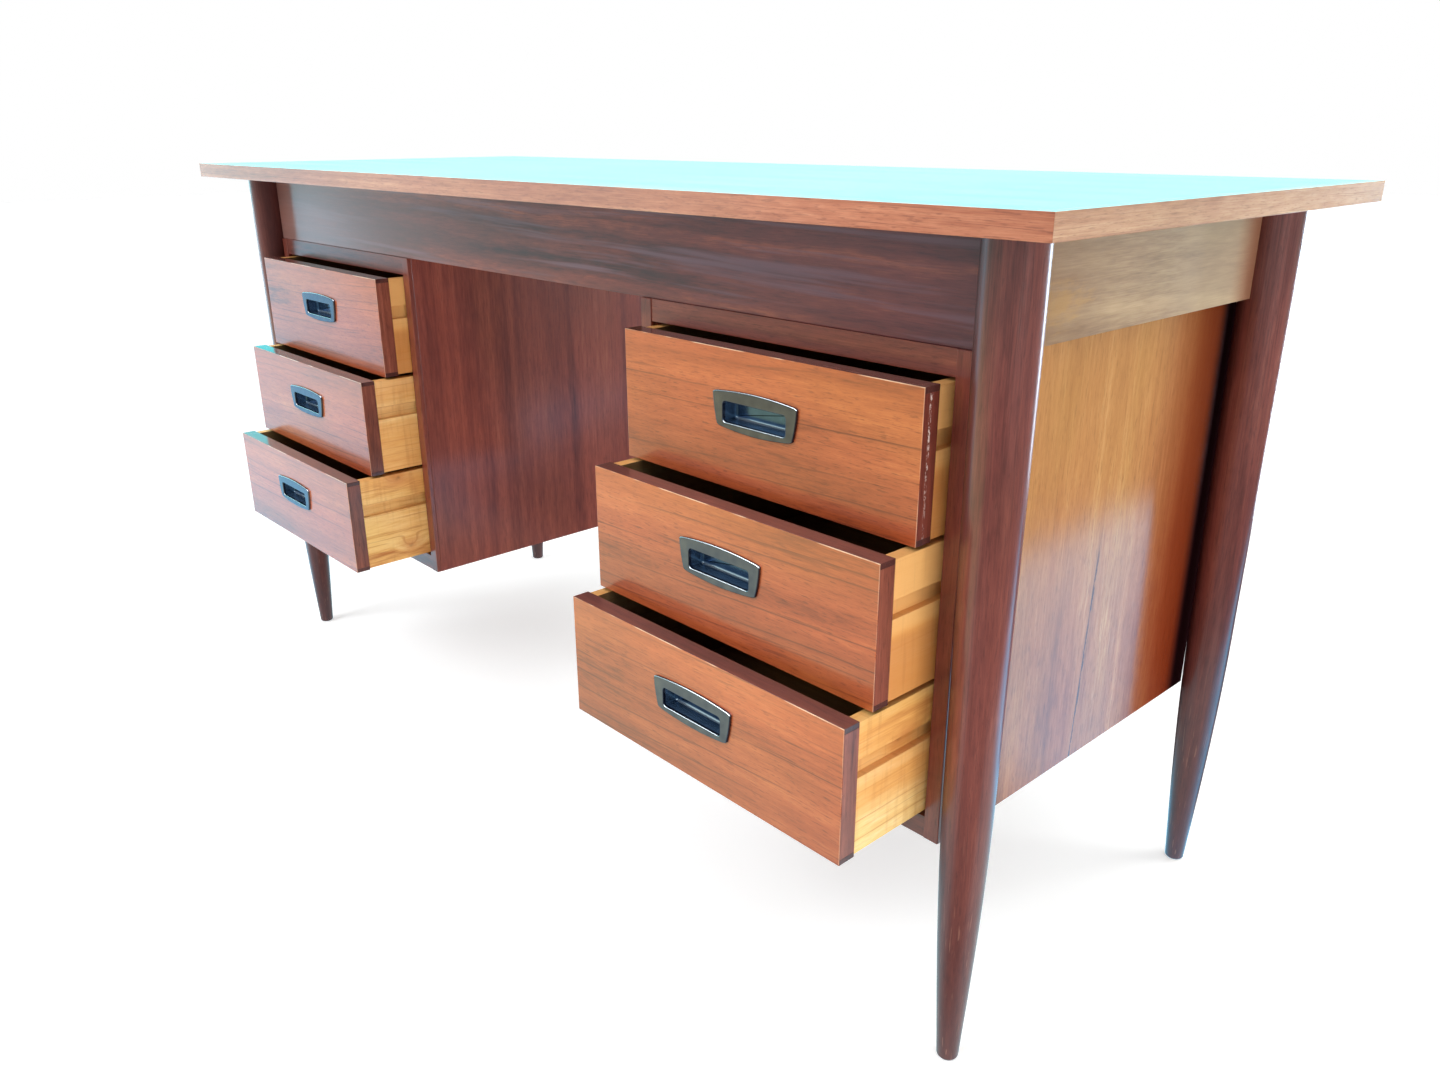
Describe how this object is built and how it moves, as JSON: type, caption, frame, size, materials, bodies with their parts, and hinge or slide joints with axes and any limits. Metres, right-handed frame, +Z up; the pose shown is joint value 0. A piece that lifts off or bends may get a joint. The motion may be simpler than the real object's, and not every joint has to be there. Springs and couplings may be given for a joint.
{
  "type": "writing desk with drawers",
  "caption": "Writing desk on round tapered legs, with two hung pedestals of sliding drawers, recessed metal pulls and an open kneehole.",
  "frame": {"origin": "on the floor, under the middle of the whole desk with its drawers as they rest", "axes": "+X along the desk's width to the right of someone who stands before its front, -Y out of the front where the drawers open, +Z up"},
  "size_m": [1.416, 0.5804, 0.73],
  "materials": {
    "top_veneer": "glossy clear lacquer over teak veneer",
    "solid_teak": "satin oiled solid teak",
    "leg_teak": "satin lacquered turned teak",
    "apron_veneer": "satin lacquered teak veneer",
    "side_veneer": "satin lacquered teak veneer",
    "front_veneer": "satin lacquered teak veneer",
    "pine": "bare sanded softwood",
    "plywood": "thin lacquered plywood",
    "bronze": "dark patinated, satin",
    "steel": "bright zinc"
  },
  "bodies": {
    "carcase": {"top_panel": "top_veneer", "top_lippings": "solid_teak", "leg_front_left": "leg_teak", "leg_front_right": "leg_teak", "leg_rear_left": "leg_teak", "leg_rear_right": "leg_teak", "apron_front": "apron_veneer", "apron_rear": "apron_veneer", "apron_left": "apron_veneer", "apron_right": "apron_veneer", "corner_blocks": "pine", "frame_screws": "steel", "pedestal_dowels": "pine", "runner_screws": "steel", "left_pedestal_outer_side": "side_veneer", "left_pedestal_inner_side": "side_veneer", "left_pedestal_lippings": "solid_teak", "left_pedestal_bottom": "solid_teak", "left_pedestal_back": "side_veneer", "left_pedestal_rails": "solid_teak", "left_pedestal_runners": "pine", "right_pedestal_outer_side": "side_veneer", "right_pedestal_inner_side": "side_veneer", "right_pedestal_lippings": "solid_teak", "right_pedestal_bottom": "solid_teak", "right_pedestal_back": "side_veneer", "right_pedestal_rails": "solid_teak", "right_pedestal_runners": "pine"},
    "left_bottom_drawer": {"left_bottom_drawer_front": "front_veneer", "left_bottom_drawer_sides": "pine", "left_bottom_drawer_back": "pine", "left_bottom_drawer_bottom": "plywood", "left_bottom_drawer_pull": "bronze"},
    "left_middle_drawer": {"left_middle_drawer_front": "front_veneer", "left_middle_drawer_sides": "pine", "left_middle_drawer_back": "pine", "left_middle_drawer_bottom": "plywood", "left_middle_drawer_pull": "bronze"},
    "left_top_drawer": {"left_top_drawer_front": "front_veneer", "left_top_drawer_sides": "pine", "left_top_drawer_back": "pine", "left_top_drawer_bottom": "plywood", "left_top_drawer_pull": "bronze"},
    "right_bottom_drawer": {"right_bottom_drawer_front": "front_veneer", "right_bottom_drawer_sides": "pine", "right_bottom_drawer_back": "pine", "right_bottom_drawer_bottom": "plywood", "right_bottom_drawer_pull": "bronze"},
    "right_middle_drawer": {"right_middle_drawer_front": "front_veneer", "right_middle_drawer_sides": "pine", "right_middle_drawer_back": "pine", "right_middle_drawer_bottom": "plywood", "right_middle_drawer_pull": "bronze"},
    "right_top_drawer": {"right_top_drawer_front": "front_veneer", "right_top_drawer_sides": "pine", "right_top_drawer_back": "pine", "right_top_drawer_bottom": "plywood", "right_top_drawer_pull": "bronze"}
  },
  "joints": [
    {"name": "left_bottom_drawer_slide", "type": "slide", "parent": "carcase", "child": "left_bottom_drawer", "axis": [0, -1, 0], "range_m": [-0.106, 0.184]},
    {"name": "left_middle_drawer_slide", "type": "slide", "parent": "carcase", "child": "left_middle_drawer", "axis": [0, -1, 0], "range_m": [-0.071, 0.219]},
    {"name": "left_top_drawer_slide", "type": "slide", "parent": "carcase", "child": "left_top_drawer", "axis": [0, -1, 0], "range_m": [-0.037, 0.253]},
    {"name": "right_bottom_drawer_slide", "type": "slide", "parent": "carcase", "child": "right_bottom_drawer", "axis": [0, -1, 0], "range_m": [-0.107, 0.183]},
    {"name": "right_middle_drawer_slide", "type": "slide", "parent": "carcase", "child": "right_middle_drawer", "axis": [0, -1, 0], "range_m": [-0.074, 0.216]},
    {"name": "right_top_drawer_slide", "type": "slide", "parent": "carcase", "child": "right_top_drawer", "axis": [0, -1, 0], "range_m": [-0.033, 0.257]}
  ]
}
